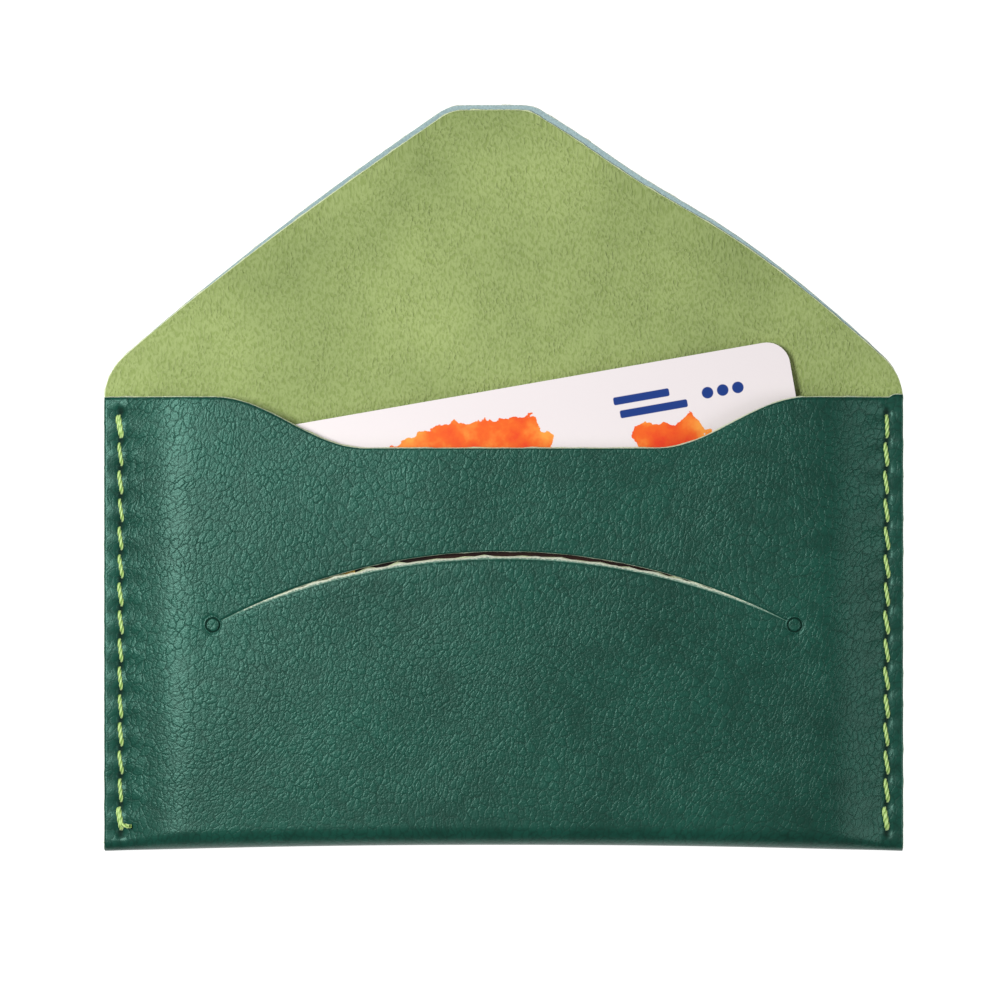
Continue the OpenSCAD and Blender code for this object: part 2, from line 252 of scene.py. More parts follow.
def hide_surface(columns, rows_per_stitch, back_rows_per_stitch, grow):
    """The leather's outer face as two grids that share the row through the slit outside its ends.

    Columns run across and rows run down the front, round the fold and up the back to the tip. A row's place
    is given at the seams, by the stitch spacing, and the scoop, the slit and the fold draw it with them in
    between: depth = start + share * (end - start). grow is how far the sheet runs past the scoop's edge, the
    flap's two sides and the tip. Returns what join_grids returns."""
    x = columns[None, :]
    step = PITCH / rows_per_stitch
    seam_middle_y = fold_middle_y(HALF_W)
    first = TOP_Y - SEAM_TOP
    last = TOP_Y - seam_middle_y
    above = np.linspace(0, first, 4, endpoint=False)
    depths = np.concatenate([above, np.arange(first, last - 0.3 * step, step), [last]])
    slit_at = len(above) + round((SLIT_DROP - first) / step)
    upper = depths[:slit_at + 1, None] / depths[slit_at]
    lower = (depths[slit_at:, None] - depths[slit_at]) / (depths[-1] - depths[slit_at])

    # upper front: from the scoop's edge to the slit's upper lip
    edge = scoop_edge(x) - grow["scoop"] - CORNER_UP * smoothstep((x - HALF_W + 2) / 0.9)
    lip = slit_line(x) - slit_gap(x)
    depth_a = edge + upper * (lip - edge)
    open_share = slit_gap(x) / (SLIT_OPEN / 2)
    hang = LIP_DROP * open_share * np.exp(-(lip - depth_a) / LIP_DROP_REACH)
    rise = (front_height(x) - MARGIN_Z) / POCKET_GAP
    level = FRONT_WAVE * rise * waves(x, TOP_Y - depth_a)
    grid_a = np.stack([x + 0 * depth_a, TOP_Y - depth_a, front_height(x) - hang + level], 2)

    # lower front: from the slit's lower lip to the start of the fold
    lip = slit_line(x) + slit_gap(x)
    end = TOP_Y - fold_middle_y(x)
    depth_b = lip + lower * (end - lip)
    from_cut = depth_b - lip
    roll = LIP_ROLL * np.exp(-from_cut / LIP_ROLL_REACH)
    lift = open_share * (LIP_LIFT * np.exp(-from_cut / LIP_LIFT_REACH) - roll)
    level = FRONT_WAVE * rise * waves(x, TOP_Y - depth_b) * (1 - lower ** 6)
    front_b = np.stack([x + 0 * depth_b, TOP_Y - depth_b, front_height(x) + lift + level], 2)

    # fold: half a circle whose radius is half the thickness there
    turn = np.linspace(0, np.pi, 16)[1:-1, None]
    r = front_height(x) / 2
    fold = np.stack([x + 0 * turn, fold_middle_y(x) - r * np.sin(turn), r + r * np.cos(turn)], 2)

    # back: from the end of the fold up to the level of the front's top edge
    beside_seam = np.arange(SEAM_BOTTOM, TOP_Y - 0.2, PITCH / back_rows_per_stitch)
    up = np.concatenate([[seam_middle_y], beside_seam, [TOP_Y]])
    share = (up[:, None] - seam_middle_y) / (TOP_Y - seam_middle_y)
    back_y = fold_middle_y(x) + share * (TOP_Y - fold_middle_y(x))
    back = np.stack([x + 0 * back_y, back_y, 0 * back_y], 2)

    # flap: each row runs between the two sides of its plan
    bend_end = CREASE_Y + BEND_SPAN
    bend = np.linspace(TOP_Y, bend_end, 22)[1:]
    spread = np.linspace(0, 1, 52)[1:]
    beyond = bend_end + (TIP_Y + grow["tip"] - bend_end) * (1 - (1 - spread) ** 1.6)
    flap_y = np.concatenate([bend, beyond])[:, None]
    left, right = flap_side(-1), flap_side(1)
    plan_y = np.minimum(flap_y - grow["tip"] * smoothstep((flap_y - CREASE_Y) / 30), TIP_Y)
    share = smoothstep((flap_y - TOP_Y - 1) / 10)
    left_x = np.interp(plan_y, left[:, 1], left[:, 0]) - share * grow["left"]
    right_x = np.interp(plan_y, right[:, 1], right[:, 0]) + share * grow["right"]
    right_x -= DIP * bell(plan_y - TIP_Y + DIP_BELOW_TIP, DIP_REACH)
    flap_x = left_x + (x / HALF_W + 1) / 2 * (right_x - left_x)
    out = smoothstep((flap_y - CREASE_Y) / 12)
    uneven = FLAP_WAVE * out * (1 + waves(1.7 * flap_x, 1.7 * flap_y))
    flap_z = CREASE_HUMP * bell(flap_y - CREASE_Y, HUMP_REACH) + uneven
    flap = np.stack([flap_x, flap_y + 0 * x, flap_z], 2)
    back[:, :, 2] += CREASE_HUMP * bell(back_y - CREASE_Y, HUMP_REACH)

    grid_b = np.concatenate([front_b, fold, back, flap])
    count = {"front": len(front_b), "fold": len(fold), "back": len(back)}
    arc = np.linalg.norm(np.diff(grid_b[:, :, 1:], axis=0), axis=2)
    length_b = np.concatenate([depth_b[:1], depth_b[:1] + np.cumsum(arc, 0)])
    return join_grids(grid_a, depth_a, grid_b, length_b, open_share[0] > 0, count)


def grid_normals(grid):
    """Unit normals: the cross product of a grid's differences down and across."""
    normal = np.cross(np.gradient(grid, axis=0), np.gradient(grid, axis=1))
    return normal / np.linalg.norm(normal, axis=2, keepdims=True)


def join_grids(grid_a, down_a, grid_b, down_b, is_open, count):
    """Welds the last row of grid_a to the first of grid_b wherever the slit is closed.

    Returns the points, normals, pattern places and zones (0 front, 1 fold, 2 back, 3 flap), whether a point
    is on the slit's lower lip, and the quads."""
    rows_a, columns = grid_a.shape[:2]
    index_a = np.arange(rows_a * columns).reshape(rows_a, columns)
    index_b = rows_a * columns + np.arange(grid_b.shape[0] * columns).reshape(-1, columns)
    index_a[-1] = np.where(is_open, index_a[-1], index_b[0])
    quads = np.concatenate([np.stack([i[:-1, :-1], i[1:, :-1], i[1:, 1:], i[:-1, 1:]], 2).reshape(-1, 4)
                            for i in (index_a, index_b)])
    points = np.concatenate([grid_a.reshape(-1, 3), grid_b.reshape(-1, 3)])
    normals = np.concatenate([grid_normals(grid_a).reshape(-1, 3), grid_normals(grid_b).reshape(-1, 3)])
    places = np.stack([points[:, 0], np.concatenate([down_a.ravel(), down_b.ravel()])], 1)
    row = np.concatenate([np.zeros(grid_a.size // 3), np.repeat(np.arange(len(grid_b)), columns)])
    zone = np.where(row < count["front"], 0, np.where(row < count["front"] + count["fold"], 1, 2))
    zone = np.where(row >= count["front"] + count["fold"] + count["back"], 3, zone)
    lip = np.zeros(len(points), bool)
    lip[index_b[0]] = is_open
    used, quads = np.unique(quads, return_inverse=True)
    return points[used], normals[used], places[used], zone[used], lip[used], quads.reshape(-1, 4)


def seam_distance(points):
    """Distance across from the nearer stitch line, and along from the nearest hole, in mm."""
    across = np.abs(points[:, 0]) - SEAM_X
    holes = np.clip(np.round((SEAM_TOP - points[:, 1]) / PITCH), 0, STITCHES)
    return across, points[:, 1] - (SEAM_TOP - holes * PITCH)


def pulled_in(points, zone):
    """How the stitches draw the leather in: a trough under each stitch, a pit at each hole and a puff inside.

    Trough: 0.06 + 0.03 cos over a bell of 0.7 mm; pit: 1.3 over a bell of 0.36 by 0.48 mm, in a dimple of
    0.12 over a bell of 1 by 1.1 mm that is 0.4 mm outside the seam; puff: a cosine wave along the seam,
    highest beside the middle of each stitch, over a bell of 1.2 mm that is 1.5 mm inside the seam, and a
    weaker one outside it. A depth d ends as 0.85 (exp(d / 0.85) - 1), so it never goes through the
    leather."""
    across, along = seam_distance(points)
    y = points[:, 1]
    in_seam = smoothstep((SEAM_TOP + 0.9 - y) / 0.9) * smoothstep((y - SEAM_BOTTOM + 0.9) / 0.9)
    wave = np.cos(2 * np.pi * (SEAM_TOP - y) / PITCH)
    trough = -(0.06 + 0.03 * wave) * bell(across, 0.7)
    pit = -1.3 * bell(across, 0.36) * bell(along, 0.48) - 0.12 * bell(across - 0.4, 1.0) * bell(along, 1.1)
    puff = -0.09 * wave * bell(across + 1.5, 1.2) - 0.05 * wave * bell(across - 1.1, 0.7)
    depth = np.isin(zone, (0, 2)) * in_seam * (trough + pit + puff * np.where(zone == 0, 1, 0.3))
    return np.where(depth < 0, 0.85 * (np.exp(np.minimum(depth, 0) / 0.85) - 1), depth)


def stop_pit(points, zone):
    """The struck marks push the leather down under their own small faces."""
    away = np.hypot(np.abs(points[:, 0]) - SLIT_W / 2, points[:, 1] - (TOP_Y - SLIT_DROP))
    return -0.5 * (zone == 0) * smoothstep((1.25 - away) / 0.5)


def ragged(points):
    """How far the fibres of a knife-cut edge stand out: 0.09 mm, uneven by a product of short sine waves,
    with longer flakes where a product of long waves passes 0.5."""
    x, y = points[:, 0], points[:, 1]
    short = np.sin(9.1 * x + 7.3 * y) * np.sin(3.7 * x - 5.9 * y + 1)
    flakes = smoothstep((np.sin(1.3 * x + 0.9 * y) * np.sin(0.47 * x - 2.1 * y) - 0.5) / 0.2)
    return 0.09 + 0.035 * short + 0.07 * flakes


def closed_sheet(outer, inner, quads, bulge):
    """A closed wall from two faces of the same quads, with a rounded rim along every edge of the sheet.

    A rim ring at share t of the thickness lies at outer + t (inner - outer), pushed out of the sheet by
    bulge * 4 t (1 - t). Returns points, faces, each point's source on the sheet and its depth share, and
    each face's part: 0 outer, 1 inner, 2 rim."""
    size = len(outer)
    start = quads.ravel()
    stop = np.roll(quads, -1, axis=1).ravel()
    lone = ~np.isin(start * size + stop, stop * size + start)
    start, stop = start[lone], stop[lone]
    through = (inner - outer) / np.linalg.norm(inner - outer, axis=1, keepdims=True)
    away = np.cross(outer[stop] - outer[start], -through[start])
    push = np.zeros_like(outer)
    np.add.at(push, start, away)
    np.add.at(push, stop, away)
    rim = np.unique(np.concatenate([start, stop]))
    push[rim] /= np.linalg.norm(push[rim], axis=1, keepdims=True)
    slot = np.full(size, -1)
    slot[rim] = np.arange(len(rim))
    shares = (0.12, 0.35, 0.65, 0.88)
    rings = [outer[rim] + t * (inner - outer)[rim] + 4 * t * (1 - t) * bulge[rim, None] * push[rim]
             for t in shares]
    points = np.concatenate([outer, inner, *rings])
    level = [start, *[2 * size + k * len(rim) + slot[start] for k in range(len(shares))], start + size]
    level_stop = [stop, *[2 * size + k * len(rim) + slot[stop] for k in range(len(shares))], stop + size]
    sides = [np.stack([b0, a0, a1, b1], 1)
             for a0, b0, a1, b1 in zip(level, level_stop, level[1:], level_stop[1:])]
    faces = np.concatenate([quads, quads[:, ::-1] + size, *sides])
    source = np.concatenate([np.arange(size), np.arange(size), *[rim] * len(shares)])
    depth = np.concatenate([np.zeros(size), np.ones(size), *[np.full(len(rim), t) for t in shares]])
    part = np.concatenate([np.zeros(len(quads)), np.ones(len(quads)), np.full(sum(map(len, sides)), 2)])
    return points, faces, source, depth, part.astype(int)


def mesh_piece(name, points, faces, materials, part=None, places=None, shades=None):
    """A smooth mesh object from points in mm; part picks each face's material."""
    mesh = bpy.data.meshes.new(name)
    mesh.from_pydata((points * MM).tolist(), [], faces if isinstance(faces, list) else faces.tolist())
    for material in materials:
        mesh.materials.append(material)
    if part is not None:
        mesh.polygons.foreach_set("material_index", part.astype(np.int32))
    mesh.polygons.foreach_set("use_smooth", np.ones(len(faces), bool))
    corners = np.zeros(len(mesh.loops), np.int32)
    mesh.loops.foreach_get("vertex_index", corners)
    if places is not None:
        layer = mesh.uv_layers.new(name="pattern")
        layer.uv.foreach_set("vector", (places[corners] * UV_PER_MM).astype(np.float32).ravel())
    for key, values in (shades or {}).items():
        attribute = mesh.attributes.new(key, "FLOAT", "POINT")
        attribute.data.foreach_set("value", values.astype(np.float32))
    mesh.update()
    piece = bpy.data.objects.new(name, mesh)
    bpy.context.scene.collection.objects.link(piece)
    return piece


# ---------------------------------------------------------------- materials
def linear(hex_colour):
    """An sRGB hex colour as linear RGBA: ((c + 0.055) / 1.055)^2.4, or c / 12.92 near black."""
    srgb = [int(hex_colour[i:i + 2], 16) / 255 for i in (1, 3, 5)]
    return (*[c / 12.92 if c <= 0.04045 else ((c + 0.055) / 1.055) ** 2.4 for c in srgb], 1)


def add(tree, kind, sockets=None, **settings):
    """Adds a node, sets its own settings, and fills its sockets with values or with links."""
    node = tree.nodes.new(kind)
    for key, value in settings.items():
        setattr(node, key, value)
    for key, value in (sockets or {}).items():
        if isinstance(value, bpy.types.NodeSocket):
            tree.links.new(value, node.inputs[key])
        else:
            node.inputs[key].default_value = value
    return node


def ramp(tree, factor, stops):
    """A colour ramp through (place, value) stops; a value is a hex colour or a grey level."""
    node = add(tree, "ShaderNodeValToRGB", {"Fac": factor})
    while len(node.color_ramp.elements) < len(stops):
        node.color_ramp.elements.new(0.5)
    for element, (place, value) in zip(node.color_ramp.elements, stops):
        element.position = place
        element.color = linear(value) if isinstance(value, str) else (value, value, value, 1)
    return node.outputs["Color"]


def new_material(name):
    """An empty node material with its shader and output."""
    material = bpy.data.materials.new(name)
    material.use_nodes = True
    tree = material.node_tree
    tree.nodes.clear()
    shader = add(tree, "ShaderNodeBsdfPrincipled")
    add(tree, "ShaderNodeOutputMaterial", {"Surface": shader.outputs["BSDF"]})
    return material, tree, shader


def pattern_place(tree):
    """A point's place on the flat hide, in mm."""
    place = add(tree, "ShaderNodeUVMap", uv_map="pattern")
    return add(tree, "ShaderNodeMapping", {"Vector": place.outputs["UV"],
                                           "Scale": (1 / UV_PER_MM, 1 / UV_PER_MM, 1)}).outputs[0]


def creases(tree, place, across_mm, along_mm, turn, wander_mm, shift, stops):
    """Height of one net of creases, from 0 at the bottom of a crease to 1 on the cells between them.

    The sheet's place is shifted by noise of about the cells' own size, so no crease runs straight, and the
    distance to the nearest crease then goes through stops."""
    loose = add(tree, "ShaderNodeTexNoise", {"Vector": place, "Scale": 0.9 / across_mm, "Detail": 2.0})
    centred = add(tree, "ShaderNodeVectorMath", {0: loose.outputs["Color"], 1: (0.5, 0.5, 0.5)},
                  operation="SUBTRACT")
    bent = add(tree, "ShaderNodeVectorMath", {0: centred.outputs[0], 1: (wander_mm, wander_mm, 0), 2: place},
               operation="MULTIPLY_ADD")
    turned = add(tree, "ShaderNodeMapping", {"Vector": bent.outputs[0], "Rotation": (0, 0, np.radians(turn)),
                                             "Location": (shift, -shift, 0)})
    cells = add(tree, "ShaderNodeMapping", {"Vector": turned.outputs[0],
                                            "Scale": (1 / across_mm, 1 / along_mm, 1)})
    net = add(tree, "ShaderNodeTexVoronoi", {"Vector": cells.outputs[0], "Scale": 1.0},
              feature="DISTANCE_TO_EDGE", voronoi_dimensions="2D")
    return ramp(tree, net.outputs["Distance"], stops)


def outer_leather():
    """Drum-dyed cowhide with a pebbled, lightly waxed grain: rounded pebbles of about 0.9 by 1.4 mm between
    fine creases that run mostly upright and lean, a finer net on the pebbles, pores, and a satin shine that
    breaks up over them."""
    material, tree, shader = new_material("pebbled_cowhide_dark_green")
    place = pattern_place(tree)
    sway = add(tree, "ShaderNodeTexNoise", {"Vector": place, "Scale": 0.035, "Detail": 1.0})
    flow = add(tree, "ShaderNodeVectorMath", {0: sway.outputs["Color"], 1: (11, 11, 0), 2: place},
               operation="MULTIPLY_ADD").outputs[0]
    pebbles = creases(tree, flow, 0.88, 1.35, -24, 1.1, 0.0,
                      [(0.0, 0.0), (0.06, 0.45), (0.2, 0.8), (0.6, 1.0)])
    finer = creases(tree, flow, 0.42, 0.6, 20, 0.45, 3.7, [(0.0, 0.0), (0.15, 0.6), (0.5, 1.0)])
    lines = creases(tree, flow, 3.0, 6.5, -18, 2.4, 7.9, [(0.0, 0.0), (0.03, 0.6), (0.08, 1.0)])
    pores = add(tree, "ShaderNodeTexNoise", {"Vector": place, "Scale": 3.4, "Detail": 2.0, "Roughness": 0.6})
    patches = add(tree, "ShaderNodeTexNoise", {"Vector": place, "Scale": 0.33, "Detail": 2.0})
    cloudy = add(tree, "ShaderNodeTexNoise", {"Vector": place, "Scale": 0.055, "Detail": 3.0})
    strength = ramp(tree, patches.outputs["Fac"], [(0.36, 0.35), (0.66, 0.85)])
    weighted = add(tree, "ShaderNodeMath", {0: pebbles, 1: strength}, operation="MULTIPLY")
    with_fine = add(tree, "ShaderNodeMath", {0: finer, 1: 0.11, 2: weighted.outputs[0]},
                    operation="MULTIPLY_ADD")
    with_lines = add(tree, "ShaderNodeMath", {0: lines, 1: 0.2, 2: with_fine.outputs[0]},
                     operation="MULTIPLY_ADD")
    with_pores = add(tree, "ShaderNodeMath", {0: pores.outputs["Fac"], 1: 1.0, 2: with_lines.outputs[0]},
                     operation="MULTIPLY_ADD")
    grain = add(tree, "ShaderNodeAttribute", attribute_name="grain")
    height = add(tree, "ShaderNodeMath", {0: with_pores.outputs[0], 1: grain.outputs["Fac"]},
                 operation="MULTIPLY")
    bump = add(tree, "ShaderNodeBump", {"Strength": 1.0, "Distance": 0.000052, "Height": height.outputs[0]})
    dye = ramp(tree, cloudy.outputs["Fac"], [(0.3, LEATHER_DARK), (0.7, LEATHER_LIGHT)])
    # Painted crease shade: the colour is multiplied darker where the grain's height is low, in its creases.
    painted_crease_shade = ramp(tree, with_lines.outputs[0], [(0.15, "#7C9088"), (0.8, "#FFFFFF")])
    body = add(tree, "ShaderNodeMix", {"Factor": 0.7, "A": dye, "B": painted_crease_shade}, data_type="RGBA",
               blend_type="MULTIPLY")
    # Painted shade in recesses: the stitch holes, the line under the thread and the stop marks' grooves turn
    # near black (#04120C) here, and rougher.
    sewn = add(tree, "ShaderNodeAttribute", attribute_name="sewn")
    shaded = add(tree, "ShaderNodeMix", {"Factor": sewn.outputs["Fac"], "A": body.outputs["Result"],
                                         "B": linear("#04120C")}, data_type="RGBA")
    satin = ramp(tree, with_pores.outputs[0], [(0.5, 0.45), (1.6, 0.36)])
    rough = add(tree, "ShaderNodeMath", {0: sewn.outputs["Fac"], 1: 0.5, 2: satin}, operation="MULTIPLY_ADD")
    tree.links.new(shaded.outputs["Result"], shader.inputs["Base Color"])
    tree.links.new(rough.outputs[0], shader.inputs["Roughness"])
    tree.links.new(bump.outputs["Normal"], shader.inputs["Normal"])
    shader.inputs["Specular IOR Level"].default_value = 0.4
    shader.inputs["Specular Tint"].default_value = linear("#BEFFEC")
    return material


def lining_leather():
    """Thin lining leather with a fine pressed wrinkle of about 0.7 mm, unfinished and matt, so it takes the
    light softly; its valleys are painted a little darker, as painted shade."""
    material, tree, shader = new_material("wrinkled_lining_light_green")
    place = pattern_place(tree)
    turned = add(tree, "ShaderNodeMapping", {"Vector": place, "Rotation": (0, 0, np.radians(24)),
                                             "Scale": (1 / 0.37, 1 / 0.64, 1)})
    wrinkle = add(tree, "ShaderNodeTexNoise", {"Vector": turned.outputs[0], "Scale": 1.0, "Detail": 1.0,
                                               "Roughness": 0.4, "Distortion": 0.5}).outputs["Fac"]
    nap = add(tree, "ShaderNodeTexNoise", {"Vector": place, "Scale": 4.5, "Detail": 2.0})
    patches = add(tree, "ShaderNodeTexNoise", {"Vector": place, "Scale": 0.25, "Detail": 2.0})
    cloudy = add(tree, "ShaderNodeTexNoise", {"Vector": place, "Scale": 0.05, "Detail": 3.0})
    strength = ramp(tree, patches.outputs["Fac"], [(0.35, 0.45), (0.65, 1.0)])
    pressed = add(tree, "ShaderNodeMath", {0: wrinkle, 1: strength}, operation="MULTIPLY")
    height = add(tree, "ShaderNodeMath", {0: nap.outputs["Fac"], 1: 0.12, 2: pressed.outputs[0]},
                 operation="MULTIPLY_ADD")
    bump = add(tree, "ShaderNodeBump", {"Strength": 1.0, "Distance": 0.0004, "Height": height.outputs[0]})
    base = ramp(tree, cloudy.outputs["Fac"], [(0.3, LINING_DARK), (0.7, LINING_LIGHT)])
    # Painted shade: the colour is darker in the wrinkle's valleys.
    painted_valley_shade = ramp(tree, wrinkle, [(0.34, "#D0D8B2"), (0.56, "#FFFFFF")])
    colour = add(tree, "ShaderNodeMix", {"Factor": 0.6, "A": base, "B": painted_valley_shade}, data_type="RGBA",
                 blend_type="MULTIPLY")
    tree.links.new(colour.outputs["Result"], shader.inputs["Base Color"])
    tree.links.new(bump.outputs["Normal"], shader.inputs["Normal"])
    shader.inputs["Roughness"].default_value = 0.8
    shader.inputs["Specular IOR Level"].default_value = 0.3
    return material


def cut_edge(name, skin, core):
    """Raw knife-cut edge: dyed skin at the top of the cut, then the paler fibrous core."""
    material, tree, shader = new_material(name)
    depth = add(tree, "ShaderNodeAttribute", attribute_name="depth")
    place = add(tree, "ShaderNodeTexCoord")
    scaled = add(tree, "ShaderNodeMapping", {"Vector": place.outputs["Object"], "Scale": (3500, 3500, 9000)})
    fibres = add(tree, "ShaderNodeTexNoise", {"Vector": scaled.outputs[0], "Scale": 1.0, "Detail": 3.0})
    uneven = add(tree, "ShaderNodeMath", {0: fibres.outputs["Fac"], 1: 0.3, 2: depth.outputs["Fac"]},
                 operation="MULTIPLY_ADD")
    colour = ramp(tree, uneven.outputs[0], [(0.2, skin), (0.36, core), (1.0, core)])
    patchy = ramp(tree, fibres.outputs["Fac"], [(0.35, 0.72), (0.65, 1.0)])
    mixed = add(tree, "ShaderNodeMix", {"Factor": 0.8, "A": colour, "B": patchy}, data_type="RGBA",
                blend_type="MULTIPLY")
    bump = add(tree, "ShaderNodeBump", {"Strength": 0.6, "Distance": 0.00008,
                                        "Height": fibres.outputs["Fac"]})
    tree.links.new(mixed.outputs["Result"], shader.inputs["Base Color"])
    tree.links.new(bump.outputs["Normal"], shader.inputs["Normal"])
    shader.inputs["Roughness"].default_value = 0.85
    return material


def waxed_thread():
    """Waxed polyester thread, three plies twisted: painted highlight along each ply, painted shade between
    them.
    """
    material, tree, shader = new_material("waxed_thread_lime")
    ply = add(tree, "ShaderNodeAttribute", attribute_name="ply")
    place = add(tree, "ShaderNodeTexCoord")
    scaled = add(tree, "ShaderNodeMapping", {"Vector": place.outputs["Object"], "Scale": (9000, 4000, 9000)})
    fibres = add(tree, "ShaderNodeTexNoise", {"Vector": scaled.outputs[0], "Scale": 1.0, "Detail": 2.0})
    # Painted highlight and shade: lighter on the crown of each ply, darker in the lines between plies.
    colour = ramp(tree, ply.outputs["Fac"], [(0.0, "#5A7D2E"), (0.45, "#98BC5E"), (1.0, "#BDD98E")])
    streaked = add(tree, "ShaderNodeMix", {"Factor": 0.35, "A": colour, "B": fibres.outputs["Fac"]},
                   data_type="RGBA", blend_type="SOFT_LIGHT")
    bump = add(tree, "ShaderNodeBump", {"Strength": 0.4, "Distance": 0.00004,
                                        "Height": fibres.outputs["Fac"]})
    tree.links.new(streaked.outputs["Result"], shader.inputs["Base Color"])
    tree.links.new(bump.outputs["Normal"], shader.inputs["Normal"])
    shader.inputs["Roughness"].default_value = 0.5
    shader.inputs["Sheen Weight"].default_value = 0.25
    return material


def card_place(tree):
    """The card's own place in mm, from its lower left corner, with x along its long edge."""
    place = add(tree, "ShaderNodeTexCoord")
    middle = [float(c) * MM for c in CARD_MIDDLE]
    moved = add(tree, "ShaderNodeVectorMath", {0: place.outputs["Object"], 1: middle}, operation="SUBTRACT")
    turned = add(tree, "ShaderNodeVectorRotate", {"Vector": moved.outputs[0], "Angle": -CARD_LEAN},
                 rotation_type="Z_AXIS")
    in_mm = (1 / MM, 1 / MM, 1 / MM)
    return add(tree, "ShaderNodeMapping", {"Vector": turned.outputs[0], "Scale": in_mm}).outputs[0]


def printed_shape(tree, place, middle, half, round_mm, wobble):
    """1 inside a rounded box and 0 outside it: length(max(|p - middle| - half, 0)) compared with round_mm.
    wobble, where there is one, moves p about, so that the shape has a ragged outline."""
    moved = add(tree, "ShaderNodeVectorMath", {0: place, 1: (*middle, 0)}, operation="SUBTRACT").outputs[0]
    if wobble is not None:
        moved = add(tree, "ShaderNodeVectorMath", {0: moved, 1: wobble}, operation="ADD").outputs[0]
    size = add(tree, "ShaderNodeVectorMath", {0: moved}, operation="ABSOLUTE").outputs[0]
    beyond = add(tree, "ShaderNodeVectorMath", {0: size, 1: (*half, 1000)}, operation="SUBTRACT").outputs[0]
    held = add(tree, "ShaderNodeVectorMath", {0: beyond, 1: (0, 0, 0)}, operation="MAXIMUM").outputs[0]
    away = add(tree, "ShaderNodeVectorMath", {0: held}, operation="LENGTH").outputs["Value"]
    return add(tree, "ShaderNodeMapRange", {"Value": away, "From Min": round_mm + INK_FADE,
                                            "From Max": round_mm, "To Min": 0.0,
                                            "To Max": 1.0}).outputs["Result"]


def printed_card():
    """White laminated PVC card, offset printed: plain blue bars and dots and abstract orange washes, under a
    clear overlay with a faint orange-peel surface. A broad, nearly black umber wash where the slit looks
    into the pocket is print darkened into painted shade."""
    material, tree, shader = new_material("laminated_pvc_printed")
    place = card_place(tree)
    wash = add(tree, "ShaderNodeTexNoise", {"Vector": place, "Scale": 0.16, "Detail": 4.0, "Roughness": 0.6})
    ragged = add(tree, "ShaderNodeTexNoise", {"Vector": place, "Scale": 0.35, "Detail": 5.0})
    spread = add(tree, "ShaderNodeVectorMath", {0: ragged.outputs["Color"], 1: (0.5, 0.5, 0.5)},
                 operation="SUBTRACT").outputs[0]
    wobble = add(tree, "ShaderNodeVectorMath", {0: spread, 1: (5.0, 5.0, 0.0)},
                 operation="MULTIPLY").outputs[0]
    orange = ramp(tree, wash.outputs["Fac"], [(0.34, "#D93D1C"), (0.5, "#E0601F"), (0.66, "#E8943C")])
    # Umber, nearly black: print made dark enough to stand for the shade inside the pocket under the slit, so
    # partly print and partly painted shade.
    umber_painted_shade = ramp(tree, wash.outputs["Fac"], [(0.34, "#1A0905"), (0.66, "#36170C")])
    colour = linear(CARD_WHITE)
    top = CARD_H / 2
    lower = [((0.0, top - 30.0), (29.0, 6.0), 8.0)]
    upper = [((-2.5, top - 9.5), (7.0, 1.0), 4.6), ((25.0, top - 11.5), (2.6, 0.6), 2.6),
             ((-24.0, top - 15.0), (2.5, 0.5), 2.2)]
    bars = [((-31.0, top - 6.2), (3.6, 0.55), 0.35), ((-31.9, top - 8.6), (2.7, 0.25), 0.2),
            ((22.0, top - 4.4), (3.6, 0.28), 0.22), ((23.4, top - 6.3), (4.4, 0.28), 0.22)]
    dots = [((31.0 + 2.1 * k, top - 5.4), (0, 0), 0.75) for k in range(3)]
    prints = ((lower, umber_painted_shade, wobble), (upper, orange, wobble), (bars + dots, linear(BLUE_INK), None))
    for shapes, ink, bend in prints:
        for middle, half, round_mm in shapes:
            mask = printed_shape(tree, place, middle, half, round_mm, bend)
            colour = add(tree, "ShaderNodeMix", {"Factor": mask, "A": colour, "B": ink},
                         data_type="RGBA").outputs["Result"]
    peel = add(tree, "ShaderNodeTexNoise", {"Vector": place, "Scale": 1.6, "Detail": 2.0})
    bump = add(tree, "ShaderNodeBump", {"Strength": 0.05, "Distance": 0.00004, "Height": peel.outputs["Fac"]})
    normal = add(tree, "ShaderNodeNewGeometry")
    facing = add(tree, "ShaderNodeSeparateXYZ", {0: normal.outputs["True Normal"]})
    upright = add(tree, "ShaderNodeMath", {0: facing.outputs["Z"]}, operation="ABSOLUTE")
    is_face = add(tree, "ShaderNodeMath", {0: upright.outputs[0], 1: 0.5}, operation="GREATER_THAN")
    edged = add(tree, "ShaderNodeMix", {"Factor": is_face.outputs[0], "A": linear("#D9B48A"), "B": colour},
                data_type="RGBA")
    tree.links.new(edged.outputs["Result"], shader.inputs["Base Color"])
    tree.links.new(bump.outputs["Normal"], shader.inputs["Normal"])
    shader.inputs["Roughness"].default_value = 0.2
    return material


def gold_contacts():
    """Gold-plated contact plate, with the hairlines that part its contacts."""
    material, tree, shader = new_material("gold_plated_contacts")
    place = card_place(tree)
    corner_x, corner_y = -27.05, 3.39
    moved = add(tree, "ShaderNodeMapping", {"Vector": place, "Location": (-corner_x, -corner_y, 0)})
    lines = add(tree, "ShaderNodeTexBrick", {"Vector": moved.outputs[0], "Scale": 1.0, "Mortar Size": 0.12,
                                             "Brick Width": 4.3, "Row Height": 2.95, "Mortar Smooth": 0.1,
                                             "Color1": linear("#D9B25C"), "Color2": linear("#CFA652"),
                                             "Mortar": linear("#6B5426")}, offset=0.0)
    rub = add(tree, "ShaderNodeTexNoise", {"Vector": place, "Scale": 2.5, "Detail": 3.0})
    rough = ramp(tree, rub.outputs["Fac"], [(0.3, 0.22), (0.7, 0.38)])
    bump = add(tree, "ShaderNodeBump", {"Strength": 0.6, "Distance": 0.00004, "Height": lines.outputs["Fac"]},
               invert=True)
    tree.links.new(lines.outputs["Color"], shader.inputs["Base Color"])
    tree.links.new(rough, shader.inputs["Roughness"])
    tree.links.new(bump.outputs["Normal"], shader.inputs["Normal"])
    shader.inputs["Metallic"].default_value = 1.0
    return material


